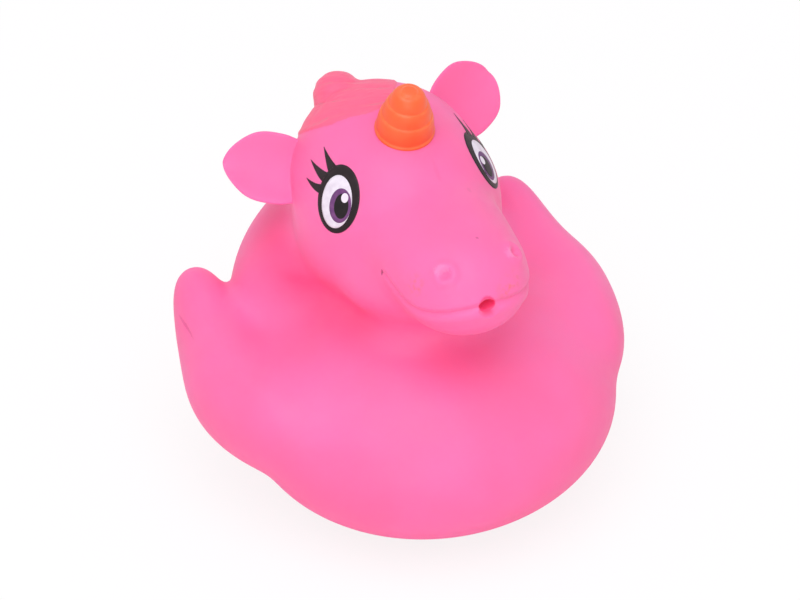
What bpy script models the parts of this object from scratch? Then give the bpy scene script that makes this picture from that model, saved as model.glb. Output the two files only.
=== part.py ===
"""A moulded vinyl bath toy: a duck's bowl-shaped body and raised wings under a horned pony's head.

One hollow moulding. The toy faces -Y, up is +Z, and it stands on the table at Z = 0.
"""

import math

import bmesh
import bpy
import numpy as np
from mathutils import Matrix, Vector

mm = 0.001

# Moulding
WALL = 2.2 * mm
SQUIRT_HOLE = 3.0 * mm
SKIN_GRAIN = 0.85 * mm
CORE_GRAIN = 1.9 * mm
TRUNK_PASSES = 46
SKIN_PASSES = 8
SKIN_TRIANGLES = 6000
CORE_TRIANGLES = 1300
LEAST_HALF = 0.25 * mm
LEAST_CAP = 0.1 * mm
LEAST_FADE = 0.02

# Hull, the lower bowl that floats
HULL_WIDTH = 69.4 * mm
HULL_LENGTH = 64.0 * mm
HULL_HEIGHT = 38.6 * mm
HULL_SINK = 2.4 * mm
HULL_FORWARD = 11.7 * mm
KEEL_WIDTH = 58.0 * mm
KEEL_LENGTH = 62.0 * mm
KEEL_BACK = 14.0 * mm

# Back, the dome that carries the head, with what fills the valleys round it
BACK_WIDTH = 55.4 * mm
BACK_LENGTH = 44.6 * mm
BACK_HEIGHT = 56.0 * mm
BACK_SHIFT = 24.4 * mm
BACK_RAISE = 9.8 * mm
SADDLE_WIDTH = 25.0 * mm
SADDLE_LENGTH = 38.0 * mm
SADDLE_HEIGHT = 20.0 * mm
SADDLE_OUT = 22.0 * mm
SADDLE_BACK = 3.7 * mm
SADDLE_RAISE = 6.1 * mm
COLLAR_WIDTH = 55.0 * mm
COLLAR_LENGTH = 46.0 * mm
COLLAR_HEIGHT = 28.0 * mm
COLLAR_BACK = 11.7 * mm
COLLAR_RAISE = 9.9 * mm
NECK_WIDTH = 31.0 * mm
NECK_LENGTH = 23.0 * mm
NECK_HEIGHT = 25.0 * mm
NECK_RISE = 21.6 * mm
NECK_BACK = 1.1 * mm

# Wings
WING_REACH = 31.6 * mm
WING_DEPTH = 25.2 * mm
WING_THICKNESS = 19.4 * mm
WING_BACK = 7.9 * mm
WING_RAISE = 3.6 * mm
WING_ROOT_FORWARD = 19.5 * mm
WING_ROOT_DROP = 2.0 * mm
WING_TIP_BACK = 28.5 * mm
WING_TIP_RISE = 12.4 * mm
WING_TIP_SIZE = 7.8 * mm

# Head
HEAD_WIDTH = 39.6 * mm
HEAD_LENGTH = 36.0 * mm
HEAD_HEIGHT = 38.4 * mm
HEAD_RISE = 25.0 * mm
HEAD_FORWARD = 11.3 * mm
CRANIUM_SIZE = 35.6 * mm
CRANIUM_BACK = 6.0 * mm
CRANIUM_RISE = 2.2 * mm
JAW_WIDTH = 36.4 * mm
JAW_HEIGHT = 18.8 * mm
JAW_REACH = 27.4 * mm
JAW_DROP = 4.9 * mm
LIP_WIDTH = 25.6 * mm
LIP_HEIGHT = 16.0 * mm
LIP_DROP = 1.7 * mm
MUZZLE_WIDTH = 23.8 * mm
MUZZLE_HEIGHT = 19.0 * mm
MUZZLE_REACH = 38.6 * mm
MUZZLE_RAISE = 1.5 * mm
SQUIRT_RISE = 3.5 * mm
SQUIRT_ASIDE = 0.8 * mm

# Ears
EAR_LENGTH = 17.0 * mm
EAR_WIDTH = 13.8 * mm
EAR_THICKNESS = 4.0 * mm
EAR_CUP = 3.0 * mm
EAR_SPREAD = 15.5 * mm
EAR_BACK = 10.5 * mm
EAR_RISE = 6.6 * mm
EAR_TILT = math.radians(4.0)
EAR_EXTRA_REACH = 0.5 * mm

# Mane
MANE_CAP_SIZE = 31.6 * mm
MANE_CAP_ASIDE = 0.6 * mm
MANE_CAP_BACK = 1.9 * mm
MANE_CAP_RISE = 2.2 * mm
CREST_WIDTH = 8.6 * mm
CREST_THICKNESS = 8.0 * mm

# Tail
TAIL_REACH = 14.0 * mm
TAIL_RISE = 12.0 * mm
TAIL_WIDTH = 24.0 * mm
TAIL_HEIGHT = 16.0 * mm
TAIL_TIP = 6.0 * mm
TAIL_DROP = 4.0 * mm

# Horn
HORN_FOOT = 10.8 * mm
HORN_MIDDLE = 8.4 * mm
HORN_TOP = 6.2 * mm
HORN_TIP = 3.4 * mm
HORN_MIDDLE_UP = 4.0 * mm
HORN_TOP_UP = 6.9 * mm
HORN_TIP_UP = 9.7 * mm
HORN_LIP = 0.5 * mm
HORN_GROOVE = 0.3 * mm
HORN_FORWARD = 2.0 * mm
HORN_SEAT = 0.7 * mm
HORN_LEAN = math.radians(12.0)
HORN_SINK = 2.6 * mm

PINK = (1.0, 0.195, 0.475)

hull_middle = Vector((0.0, -HULL_FORWARD, HULL_HEIGHT / 2 - HULL_SINK / 2))
back_middle = hull_middle + Vector((0.0, BACK_SHIFT, BACK_RAISE))
head_middle = back_middle + Vector((0.0, -HEAD_FORWARD, HEAD_RISE))
cranium_middle = head_middle + Vector((0.0, CRANIUM_BACK, CRANIUM_RISE))
ear_along = Vector((0.860, 0.487, 0.150))
ear_across = Vector((-0.357, 0.635, 0.686))


def clear_scene():
    for old in list(bpy.data.objects):
        bpy.data.objects.remove(old, do_unlink=True)


def vinyl(name, colour):
    """Soft moulded vinyl of one colour."""
    material = bpy.data.materials.new(name)
    material.use_nodes = True
    shader = material.node_tree.nodes["Principled BSDF"]
    shader.inputs["Base Color"].default_value = (*colour, 1.0)
    shader.inputs["Roughness"].default_value = 0.42
    shader.inputs["Metallic"].default_value = 0.0
    return material


def add_object(name, bm, guide=False):
    """Turns a bmesh into a scene object. A guide is drawn as wire and left out of renders."""
    bmesh.ops.recalc_face_normals(bm, faces=bm.faces)
    mesh = bpy.data.meshes.new(name)
    bm.to_mesh(mesh)
    bm.free()
    obj = bpy.data.objects.new(name, mesh)
    bpy.context.scene.collection.objects.link(obj)
    if guide:
        obj.hide_render = True
        obj.display_type = "WIRE"
    return obj


def egg(bm, middle, width, length, height, inset=0.0):
    """Ellipsoid given by its full sizes, drawn in by the inset all round."""
    size = Vector((width / 2 - inset, length / 2 - inset, height / 2 - inset))
    stretch = Matrix.LocRotScale(middle, None, size)
    bmesh.ops.create_uvsphere(bm, u_segments=40, v_segments=24, radius=1.0, matrix=stretch)


def through(rows, count):
    """Smooth curve through the rows of numbers, closer spaced at its ends."""
    rows = np.asarray(rows, float)
    padded = np.vstack([2 * rows[0] - rows[1], rows, 2 * rows[-1] - rows[-2]])
    spans = len(rows) - 1
    steps = (1 - np.cos(np.linspace(0, math.pi, count))) / 2 * spans
    first = np.minimum(steps.astype(int), spans - 1)
    t = (steps - first)[:, None]
    a, b, c, d = (padded[first + k] for k in range(4))
    return 0.5 * (2 * b + (c - a) * t + (2 * a - 5 * b + 4 * c - d) * t**2
                  + (3 * b - a - 3 * c + d) * t**3)


def limb(bm, stations, upward, inset=0.0, cup=0.0, count=22, sides=24):
    """Rounded bar of elliptical sections along a smooth path.

    A station is x, y, z, the half thickness and the half depth. The depth lies along the upward
    direction, as far as the path allows, and both ends are rounded off. A cup bends the section
    into a dish.
    """
    rows = through(stations, count)
    places, half = rows[:, :3], np.maximum(rows[:, 3:] - inset, LEAST_HALF)
    steps = np.linalg.norm(np.diff(places, axis=0), axis=1)
    run = np.concatenate([[0.0], np.cumsum(steps)])
    from_end = np.minimum(run, run[-1] - run)
    cap = np.minimum(half.max(axis=1), run[-1] / 2)
    fade = np.clip((from_end - inset) / np.maximum(cap - inset, LEAST_CAP), 0.0, 1.0)
    fade = np.sqrt(1 - (1 - fade) ** 2)
    along = np.gradient(places, axis=0)
    along /= np.linalg.norm(along, axis=1, keepdims=True)
    side = np.cross(along, np.array(upward))
    side /= np.linalg.norm(side, axis=1, keepdims=True)
    depth = np.cross(side, along)
    turn = np.linspace(0, 2 * math.pi, sides, endpoint=False)
    rings = []
    kept = np.nonzero(fade > LEAST_FADE)[0]
    for k in kept:
        out = half[k, 0] * fade[k] * np.cos(turn) + cup * fade[k] * np.sin(turn) ** 2
        rise = half[k, 1] * fade[k] * np.sin(turn)
        ring = places[k] + np.outer(out, side[k]) + np.outer(rise, depth[k])
        rings.append([bm.verts.new(point) for point in ring])
    for low, high in zip(rings, rings[1:]):
        for n in range(sides):
            m = (n + 1) % sides
            bm.faces.new((low[n], low[m], high[m], high[n]))
    bm.faces.new(reversed(rings[0]))
    bm.faces.new(rings[-1])


def place(anchor, *offset):
    return tuple(anchor + Vector(offset))


def wing(bm, side, inset=0.0):
    """Thick upswept blade along the hull's flank, from the chest to a raised tip behind."""
    thick, deep, tip = WING_THICKNESS / 2, WING_DEPTH / 2, WING_TIP_SIZE / 2
    middle = hull_middle + Vector((0.0, WING_BACK, WING_RAISE))
    out, front, back, rise = side * WING_REACH, WING_ROOT_FORWARD, WING_TIP_BACK, WING_TIP_RISE
    stations = [
        (*place(middle, out * 0.71, -front, -WING_ROOT_DROP), thick * 0.5, deep * 0.5),
        (*place(middle, out * 0.94, -front * 0.58, 0), thick * 0.84, deep * 0.88),
        (*place(middle, out, back * 0.13, 0), thick, deep),
        (*place(middle, out * 1.02, back * 0.57, rise * 0.27), thick * 0.72, deep * 0.8),
        (*place(middle, out * 0.99, back, rise), tip, tip * 1.1),
    ]
    limb(bm, stations, (0.0, 0.0, 1.0), inset)


def muzzle(bm, inset=0.0):
    """Blunt round snout reaching forward from the head."""
    wide, high = MUZZLE_WIDTH / 2, MUZZLE_HEIGHT / 2
    stations = [
        (*place(head_middle, 0, -MUZZLE_REACH * 0.1, MUZZLE_RAISE), wide * 1.32, high * 1.4),
        (*place(head_middle, 0, -MUZZLE_REACH * 0.47, MUZZLE_RAISE * 1.4), wide * 1.1, high * 1.14),
        (*place(head_middle, 0, -MUZZLE_REACH * 0.74, MUZZLE_RAISE), wide * 1.02, high * 1.04),
        (*place(head_middle, 0, -MUZZLE_REACH, MUZZLE_RAISE * 0.7), wide * 0.9, high * 0.86),
    ]
    limb(bm, stations, (0.0, 0.0, 1.0), inset)


def jaw(bm, inset=0.0):
    """Lower jaw, from the throat to the lower lip."""
    wide, high = JAW_WIDTH / 2, JAW_HEIGHT / 2
    lip_wide, lip_high = LIP_WIDTH / 2, LIP_HEIGHT / 2
    mid_drop, mid_wide = (JAW_DROP + LIP_DROP) / 2, (wide + lip_wide) / 2
    mid_high = (high + lip_high) / 2
    stations = [
        (*place(head_middle, 0, 0, -JAW_DROP), wide, high),
        (*place(head_middle, 0, -JAW_REACH * 0.3, -JAW_DROP * 1.1), wide * 0.956, high * 1.04),
        (*place(head_middle, 0, -JAW_REACH * 0.65, -mid_drop * 1.09), mid_wide * 0.97, mid_high * 1.06),
        (*place(head_middle, 0, -JAW_REACH, -LIP_DROP), lip_wide, lip_high),
    ]
    limb(bm, stations, (0.0, 0.0, 1.0), inset)


def ear(bm, side):
    """Dish-shaped ear standing out from the side of the head and slightly back."""
    along = Vector((side * ear_along.x, ear_along.y, ear_along.z))
    across = Vector((side * ear_across.x, ear_across.y, ear_across.z))
    front = along.cross(across) * side
    tilt = side * EAR_SPREAD * math.tan(EAR_TILT)
    root = head_middle + Vector((side * EAR_SPREAD, EAR_BACK, EAR_RISE + tilt))
    root += along * (EAR_EXTRA_REACH * max(side, 0)) - front * (EAR_CUP * 0.85)
    thick, wide = EAR_THICKNESS / 2, EAR_WIDTH / 2
    stations = []
    shares = (
        (-0.35, 0.85, 0.0),
        (0.0, 0.95, 0.0),
        (0.35, 1.0, 0.0),
        (0.6, 0.86, 0.17),
        (0.8, 0.62, 0.53),
    )
    for share, width, lift in shares:
        spot = root + along * (EAR_LENGTH * share) + front * (EAR_CUP * lift)
        stations.append((*spot, thick, wide * width))
    limb(bm, stations, across, cup=side * EAR_CUP)


def mane(bm):
    """Cap of hair over the crown, and a crest that starts in a tuft and runs down the nape."""
    cap = cranium_middle + Vector((-MANE_CAP_ASIDE, MANE_CAP_BACK, MANE_CAP_RISE))
    egg(bm, cap, MANE_CAP_SIZE, MANE_CAP_SIZE, MANE_CAP_SIZE)
    wide, flat, reach = CREST_WIDTH / 2, CREST_THICKNESS / 2, CRANIUM_SIZE / 2
    path = (
        (-0.056, 0.258, 0.81, 0.55),
        (-0.202, 0.680, 0.669, 0.9),
        (-0.090, 0.921, 0.416, 1.0),
        (-0.056, 1.000, 0.051, 1.0),
        (-0.028, 0.966, -0.343, 0.9),
        (0.0, 0.876, -0.680, 0.5),
    )
    stations = []
    for x, y, z, size in path:
        spot = cranium_middle + Vector((x, y, z)) * reach
        stations.append((*spot, wide * size, flat * size))
    limb(bm, stations, (0.0, 1.0, 0.4))


def tail(bm, inset=0.0):
    """Short upturned tail that grows out of the back of the dome."""
    root = back_middle + Vector((0.0, BACK_LENGTH / 2 - TAIL_HEIGHT / 2, -TAIL_DROP))
    wide, high, tip = TAIL_WIDTH / 2, TAIL_HEIGHT / 2, TAIL_TIP / 2
    stations = [
        (*place(root, 0, 0, 0), wide, high),
        (*place(root, 0, TAIL_REACH * 0.55, TAIL_RISE * 0.25), wide * 0.72, high * 0.72),
        (*place(root, 0, TAIL_REACH * 0.95, TAIL_RISE * 0.68), wide * 0.42, high * 0.45),
        (*place(root, 0, TAIL_REACH, TAIL_RISE), tip, tip),
    ]
    limb(bm, stations, (0.0, 0.0, 1.0), inset)


def trunk_forms(bm, inset=0.0):
    """Everything that is hollow inside: the body, the neck, the head and the wings."""
    collar_middle = hull_middle + Vector((0.0, COLLAR_BACK, COLLAR_RAISE))
    neck_middle = back_middle + Vector((0.0, NECK_BACK, NECK_RISE))
    keel_middle = hull_middle + Vector((0.0, KEEL_BACK, 0.0))
    egg(bm, hull_middle, HULL_WIDTH, HULL_LENGTH, HULL_HEIGHT + HULL_SINK, inset)
    egg(bm, keel_middle, KEEL_WIDTH, KEEL_LENGTH, HULL_HEIGHT + HULL_SINK, inset)
    egg(bm, back_middle, BACK_WIDTH, BACK_LENGTH, BACK_HEIGHT, inset)
    egg(bm, collar_middle, COLLAR_WIDTH, COLLAR_LENGTH, COLLAR_HEIGHT, inset)
    egg(bm, neck_middle, NECK_WIDTH, NECK_LENGTH, NECK_HEIGHT, inset)
    egg(bm, head_middle, HEAD_WIDTH, HEAD_LENGTH, HEAD_HEIGHT, inset)
    egg(bm, cranium_middle, CRANIUM_SIZE, CRANIUM_SIZE, CRANIUM_SIZE, inset)
    jaw(bm, inset)
    muzzle(bm, inset)
    tail(bm, inset)
    for side in (-1, 1):
        wing(bm, side, inset)
        saddle = hull_middle + Vector((side * SADDLE_OUT, SADDLE_BACK, SADDLE_RAISE))
        egg(bm, saddle, SADDLE_WIDTH, SADDLE_LENGTH, SADDLE_HEIGHT, inset)


def melt(obj, grain, passes):
    """Runs overlapping forms together into one skin and softens the valleys between them."""
    remesh = obj.modifiers.new("Run together", "REMESH")
    remesh.mode = "VOXEL"
    remesh.voxel_size = grain
    remesh.adaptivity = 0.0
    soften = obj.modifiers.new("Soften", "SMOOTH")
    soften.factor = 0.5
    soften.iterations = passes


def thin_out(obj, triangles):
    """Keeps about so many triangles."""
    graph = bpy.context.evaluated_depsgraph_get()
    skin = obj.evaluated_get(graph).to_mesh()
    skin.calc_loop_triangles()
    count = len(skin.loop_triangles)
    obj.evaluated_get(graph).to_mesh_clear()
    thin = obj.modifiers.new("Thin out", "DECIMATE")
    thin.ratio = min(1.0, triangles / count)


def cut(obj, name, other, operation):
    boolean = obj.modifiers.new(name, "BOOLEAN")
    boolean.operation = operation
    boolean.solver = "EXACT"
    boolean.object = other


def core():
    """The hollow inside the wall."""
    bm = bmesh.new()
    trunk_forms(bm, WALL)
    obj = add_object("hollow", bm, guide=True)
    melt(obj, CORE_GRAIN, round(TRUNK_PASSES * (SKIN_GRAIN / CORE_GRAIN) ** 2))
    thin_out(obj, CORE_TRIANGLES)
    return obj


def trunk():
    """The soft main body, before the ears, mane and tail are added."""
    bm = bmesh.new()
    trunk_forms(bm)
    obj = add_object("trunk", bm, guide=True)
    melt(obj, SKIN_GRAIN, TRUNK_PASSES)
    return obj


def table():
    """Block below the table top, which flattens the hull's underside."""
    bm = bmesh.new()
    size = Vector((HULL_WIDTH * 2, HULL_LENGTH * 2, HULL_HEIGHT))
    middle = Vector((0.0, 0.0, -HULL_HEIGHT / 2))
    bmesh.ops.create_cube(bm, size=1.0, matrix=Matrix.LocRotScale(middle, None, size))
    return add_object("table_level", bm, guide=True)


def squirt_hole():
    """Straight hole through the muzzle's wall, on the mouth line and a little to one side."""
    bm = bmesh.new()
    length = MUZZLE_REACH / 2
    middle = head_middle + Vector((-SQUIRT_ASIDE, -MUZZLE_REACH, SQUIRT_RISE))
    turn = Matrix.Translation(middle) @ Matrix.Rotation(math.pi / 2, 4, "X")
    bmesh.ops.create_cone(bm, cap_ends=True, segments=16, radius1=SQUIRT_HOLE / 2,
                          radius2=SQUIRT_HOLE / 2, depth=length, matrix=turn)
    return add_object("squirt_bore", bm, guide=True)


def horn():
    """Stubby turned horn with a lip at the foot of each step and a domed tip."""
    bm = bmesh.new()
    foot = head_middle + Vector((0.0, -HORN_FORWARD, HEAD_HEIGHT / 2 - HORN_SEAT))
    steps = (
        (HORN_FOOT / 2, HORN_MIDDLE / 2, 0.0, HORN_MIDDLE_UP),
        (HORN_MIDDLE / 2, HORN_TOP / 2, HORN_MIDDLE_UP, HORN_TOP_UP),
        (HORN_TOP / 2, HORN_TIP / 2 + HORN_LIP, HORN_TOP_UP, HORN_TIP_UP - HORN_LIP),
    )
    profile = [(HORN_FOOT / 2 - HORN_LIP, -HORN_SINK)]
    for wide, slim, low, high in steps:
        profile.append((wide, low))
        profile.append((wide, low + HORN_LIP))
        profile.append((slim - HORN_GROOVE, high))
    profile.append((HORN_TIP / 2, HORN_TIP_UP))
    lean = Matrix.Translation(foot) @ Matrix.Rotation(HORN_LEAN, 4, "X")
    sides = 24
    rings = []
    for radius, height in profile:
        ring = [Vector((radius * math.cos(a), radius * math.sin(a), height))
                for a in np.linspace(0, 2 * math.pi, sides, endpoint=False)]
        rings.append([bm.verts.new(lean @ point) for point in ring])
    for low, high in zip(rings, rings[1:]):
        for n in range(sides):
            m = (n + 1) % sides
            bm.faces.new((low[n], low[m], high[m], high[n]))
    bm.faces.new(reversed(rings[0]))
    bm.faces.new(rings[-1])
    return add_object("horn_form", bm, guide=True)


def duck():
    bm = bmesh.new()
    bm.from_object(trunk(), bpy.context.evaluated_depsgraph_get())
    for side in (-1, 1):
        ear(bm, side)
    mane(bm)
    obj = add_object("duck", bm)
    obj.data.materials.append(vinyl("pink vinyl", PINK))
    melt(obj, SKIN_GRAIN, SKIN_PASSES)
    thin_out(obj, SKIN_TRIANGLES)
    cut(obj, "Horn", horn(), "UNION")
    cut(obj, "Hollow", core(), "DIFFERENCE")
    cut(obj, "Squirt hole", squirt_hole(), "DIFFERENCE")
    cut(obj, "Flat base", table(), "DIFFERENCE")
    obj.data.shade_smooth()
    return obj


clear_scene()
duck()
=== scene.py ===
import math

import bmesh
import bpy
import numpy as np
from mathutils import Matrix, Vector


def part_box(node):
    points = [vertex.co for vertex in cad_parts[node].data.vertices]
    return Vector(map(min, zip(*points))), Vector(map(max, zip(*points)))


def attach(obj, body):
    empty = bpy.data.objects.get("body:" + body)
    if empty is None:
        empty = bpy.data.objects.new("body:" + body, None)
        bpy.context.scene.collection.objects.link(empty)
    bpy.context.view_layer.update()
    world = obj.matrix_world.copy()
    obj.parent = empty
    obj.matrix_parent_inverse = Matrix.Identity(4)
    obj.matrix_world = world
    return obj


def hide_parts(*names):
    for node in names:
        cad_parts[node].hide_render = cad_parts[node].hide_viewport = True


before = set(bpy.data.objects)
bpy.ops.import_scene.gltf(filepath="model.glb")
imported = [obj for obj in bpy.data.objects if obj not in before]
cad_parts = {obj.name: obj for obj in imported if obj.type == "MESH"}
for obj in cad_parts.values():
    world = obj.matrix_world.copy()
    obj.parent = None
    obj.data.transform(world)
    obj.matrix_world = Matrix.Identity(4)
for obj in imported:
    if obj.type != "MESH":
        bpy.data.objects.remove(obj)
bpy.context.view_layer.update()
mm = 0.001

# The toy faces -Y and stands on Z = 0. Shapes are worked out in millimetres from the point
# in the middle of its underside, and turned to metres when they become a mesh.
nodeLow, nodeHigh = (np.array(corner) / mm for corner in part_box("duck"))
stand = np.array([(nodeLow[0] + nodeHigh[0]) / 2, (nodeLow[1] + nodeHigh[1]) / 2, nodeLow[2]])


# Mesh helpers

def placeObject(name, data):
    # An object at the origin, linked to the scene
    obj = bpy.data.objects.new(name, data)
    bpy.context.scene.collection.objects.link(obj)
    return obj


def applyModifiers(obj):
    # The mesh as its modifiers leave it takes the place of the first one
    graph = bpy.context.evaluated_depsgraph_get()
    obj.data = bpy.data.meshes.new_from_object(obj.evaluated_get(graph))
    obj.modifiers.clear()


def ringFaces(rows, sides):
    # Quads between neighbouring rings of a grid, and one cap at each end
    index = np.arange(rows * sides).reshape(rows, sides)
    low, high = index[:-1], index[1:]
    quads = np.stack([low, np.roll(low, -1, 1), np.roll(high, -1, 1), high], -1)
    return quads.reshape(-1, 4).tolist() + [index[0, ::-1].tolist(), index[-1].tolist()]


def makePiece(name, skins):
    # One object from several closed grids of rings
    points, faces, start = [], [], 0
    for rings in skins:
        rows, sides = rings.shape[:2]
        points.append(rings.reshape(-1, 3))
        faces += [[corner + start for corner in face] for face in ringFaces(rows, sides)]
        start += rows * sides
    mesh = bpy.data.meshes.new(name)
    mesh.from_pydata((np.concatenate(points) * mm).tolist(), [], faces)
    mesh.validate()
    bm = bmesh.new()
    bm.from_mesh(mesh)
    bmesh.ops.recalc_face_normals(bm, faces=bm.faces)
    bm.to_mesh(mesh)
    bm.free()
    return placeObject(name, mesh)


def eggRings(middle, size, rings=48, sides=72):
    # Ellipsoid: half its size times (sin v cos u, sin v sin u, cos v), from pole to pole
    v = np.linspace(0.02, math.pi - 0.02, rings)[:, None]
    u = np.linspace(0, 2 * math.pi, sides, endpoint=False)[None, :]
    unit = np.stack([np.sin(v) * np.cos(u), np.sin(v) * np.sin(u), np.cos(v) + 0 * u], -1)
    return np.array(middle) + unit * np.array(size) / 2


def smoothThrough(rows, count):
    # Catmull-Rom curve through the rows: each span is the cubic whose ends lean along its
    # neighbours' chord. The points crowd towards both ends by a cosine.
    rows = np.array(rows, float)
    padded = np.vstack([2 * rows[0] - rows[1], rows, 2 * rows[-1] - rows[-2]])
    spans = len(rows) - 1
    steps = (1 - np.cos(np.linspace(0, math.pi, count))) / 2 * spans
    first = np.minimum(steps.astype(int), spans - 1)
    t = (steps - first)[:, None]
    a, b, c, d = (padded[first + k] for k in range(4))
    return 0.5 * (2 * b + (c - a) * t + (2 * a - 5 * b + 4 * c - d) * t**2
                  + (3 * b - a - 3 * c + d) * t**3)


def limbRings(stations, upward, cup=0.0, taper=1.0, count=80, sides=56):
    # Elliptical section carried along a smooth path through stations of x, y, z, half
    # thickness and half depth. The depth lies along the upward direction. Both ends fade as
    # sqrt(1 - (1 - s)^2), s being the distance from the end over taper times the section's
    # size. The cup bends the section into a dish by sin^2.
    rows = smoothThrough(stations, count)
    places, half = rows[:, :3], rows[:, 3:]
    steps = np.linalg.norm(np.diff(places, axis=0), axis=1)
    run = np.concatenate([[0.0], np.cumsum(steps)])
    fromEnd = np.minimum(run, run[-1] - run)
    cap = np.minimum(half.max(axis=1) * taper, run[-1] / 2)
    fade = np.clip(fromEnd / cap, 0.0, 1.0)
    fade = np.sqrt(1 - (1 - fade) ** 2)
    along = np.gradient(places, axis=0)
    along /= np.linalg.norm(along, axis=1, keepdims=True)
    side = np.cross(along, np.array(upward, float))
    side /= np.linalg.norm(side, axis=1, keepdims=True)
    depth = np.cross(side, along)
    turn = np.linspace(0, 2 * math.pi, sides, endpoint=False)
    out = half[:, :1] * fade[:, None] * np.cos(turn) + cup * fade[:, None] * np.sin(turn) ** 2
    rise = half[:, 1:] * fade[:, None] * np.sin(turn)
    rings = places[:, None] + out[..., None] * side[:, None] + rise[..., None] * depth[:, None]
    return rings[fade > 0.02]


def melt(name, objects, grain, passes):
    # Runs overlapping forms together into one skin, by small cubes, and softens the valleys
    bm = bmesh.new()
    for obj in objects:
        bm.from_mesh(obj.data)
        bpy.data.objects.remove(obj, do_unlink=True)
    mesh = bpy.data.meshes.new(name)
    bm.to_mesh(mesh)
    bm.free()
    obj = placeObject(name, mesh)
    remesh = obj.modifiers.new("run together", "REMESH")
    remesh.mode = "VOXEL"
    remesh.voxel_size = grain * mm
    remesh.adaptivity = 0.0
    soften = obj.modifiers.new("soften", "SMOOTH")
    soften.factor = 0.5
    soften.iterations = passes
    applyModifiers(obj)
    return obj


def readPoints(mesh):
    # Points in millimetres from the middle of the underside, and their normals
    points = np.empty(len(mesh.vertices) * 3, np.float32)
    mesh.vertices.foreach_get("co", points)
    normals = np.empty(len(mesh.vertices) * 3, np.float32)
    mesh.vertex_normals.foreach_get("vector", normals)
    return points.reshape(-1, 3) / mm - stand, normals.reshape(-1, 3)


def writePoints(mesh, points):
    # The way back: millimetres from the middle of the underside to metres
    mesh.vertices.foreach_set("co", ((points + stand) * mm).astype(np.float32).ravel())
    mesh.update()


def smoothStep(low, high, value):
    # 3 t^2 - 2 t^3 between the two limits
    t = np.clip((value - low) / (high - low), 0, 1)
    return t * t * (3 - 2 * t)


def bell(distance, width):
    # e^-(distance / width)^2: 1 at the spot itself, nearly nothing two widths away
    return np.exp(-(distance / width) ** 2)


def lineDistance(points, line):
    # Distance to a broken line, and how far along it, from 0 to 1, the nearest spot lies
    line = np.array(line, float)
    best, share = np.full(len(points), 1e9), np.zeros(len(points))
    for k, (a, b) in enumerate(zip(line, line[1:])):
        t = np.clip((points - a) @ (b - a) / ((b - a) @ (b - a)), 0, 1)
        away = np.linalg.norm(points - a - t[:, None] * (b - a), axis=1)
        share = np.where(away < best, (k + t) / (len(line) - 1), share)
        best = np.minimum(best, away)
    return best, share


def relax(mesh, share, passes):
    # Each pass moves a point towards the mean of its neighbours, by half its share of 0 to 1
    points, _ = readPoints(mesh)
    ends = np.empty(len(mesh.edges) * 2, np.int32)
    mesh.edges.foreach_get("vertices", ends)
    ends = ends.reshape(-1, 2)
    one, other = np.concatenate([ends, ends[:, ::-1]]).T
    count = np.bincount(one, minlength=len(points))
    for _ in range(passes):
        mean = np.stack([np.bincount(one, points[other, k], len(points)) for k in range(3)], -1)
        points += (mean / count[:, None] - points) * share[:, None] / 2
    writePoints(mesh, points)


# Forms of the moulding, in millimetres. A size is the whole of it, a middle or root is where
# it sits from the middle of the underside.

body = {
    "hullSize": (69.2, 64.0, 41.0), "hullMiddle": (0, -11.7, 18.1),
    "keelSize": (58.0, 62.0, 41.0), "keelBack": 14.0,
    "backSize": (54.9, 44.6, 54.2), "backMiddle": (0, 12.7, 27.0),
    "saddleSize": (25.0, 38.0, 20.0), "saddleMiddle": (22.0, -8.0, 24.2),
    "collarSize": (55.0, 46.0, 28.0), "collarMiddle": (0, 0, 28.0),
    "neckSize": (31.0, 23.0, 25.0), "neckMiddle": (0, 13.8, 49.5),
    "throatSize": (24.0, 28.0, 18.0), "throatMiddle": (0, -7.5, 39.5),
}

wings = {
    # the root runs forward of the middle and the tip lies behind it, higher up
    "reach": 31.8, "depth": 22.4, "thickness": 19.4, "tip": 7.8,
    "middle": (0, -3.8, 22.6), "rootForward": 19.5, "tipBack": 28.5, "tipRise": 11.6,
    # for the toy's right and left wing: how much higher the tip is, how much wider it stands
    "lift": {-1: 0.0, 1: 1.0}, "spread": {-1: 0.5, 1: 0.0},
}

head = {
    "skullSize": (38.6, 36.0, 38.4), "skullMiddle": (0, 1.4, 52.9), "skullShift": -0.5,
    "craniumSize": (35.6, 35.6, 35.6), "craniumMiddle": (0, 7.4, 55.1),
    # y, z, half width and half height of each section
    "jaw": ((1.4, 48.0, 18.2, 9.4), (-6.8, 47.3, 17.9, 9.9), (-16.4, 49.3, 15.0, 9.2),
            (-26.0, 51.2, 12.8, 8.0)),
    "muzzleWidth": 23.8, "muzzleHeight": 19.0, "muzzleReach": 38.6, "muzzleRaise": 1.5,
}

ears = {
    "length": 14.5, "width": 12.8, "thickness": 4.0, "root": (15.5, 11.9, 59.5), "cup": 3.0,
    "along": (0.860, 0.487, 0.150), "across": (-0.357, 0.635, 0.686), "tilt": 4.0,
    # for the toy's right and left ear: how far it is out of place, along and across
    "nudge": {-1: (0.0, -0.1), 1: (0.2, 0.6)}, "turn": {-1: 0.0, 1: 2.5},
    # each section: share of the length, share of the width, how far it lifts to the front
    "sections": ((-0.38, 0.9, 0), (0.0, 1.0, 0), (0.34, 1.03, 0.1), (0.65, 1.08, 0.7),
                 (0.94, 0.98, 1.7)),
    "sink": 0.85, "taper": 1.6,
}

mane = {
    "thickness": 8.0, "width": 8.6, "capSize": (30.4, 30.4, 30.4), "capMiddle": (-0.6, 9.3, 57.3),
    # x, y, z and share of the size, from the crown down the nape
    "crest": ((-4.6, 13.5, 67.6, 0.5), (-4.0, 19.5, 67.4, 0.92), (-1.6, 23.8, 62.5, 1.0),
              (-1.0, 25.2, 56.0, 1.0), (-0.5, 24.6, 49.0, 0.9), (0, 23.0, 43.0, 0.5)),
}

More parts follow.
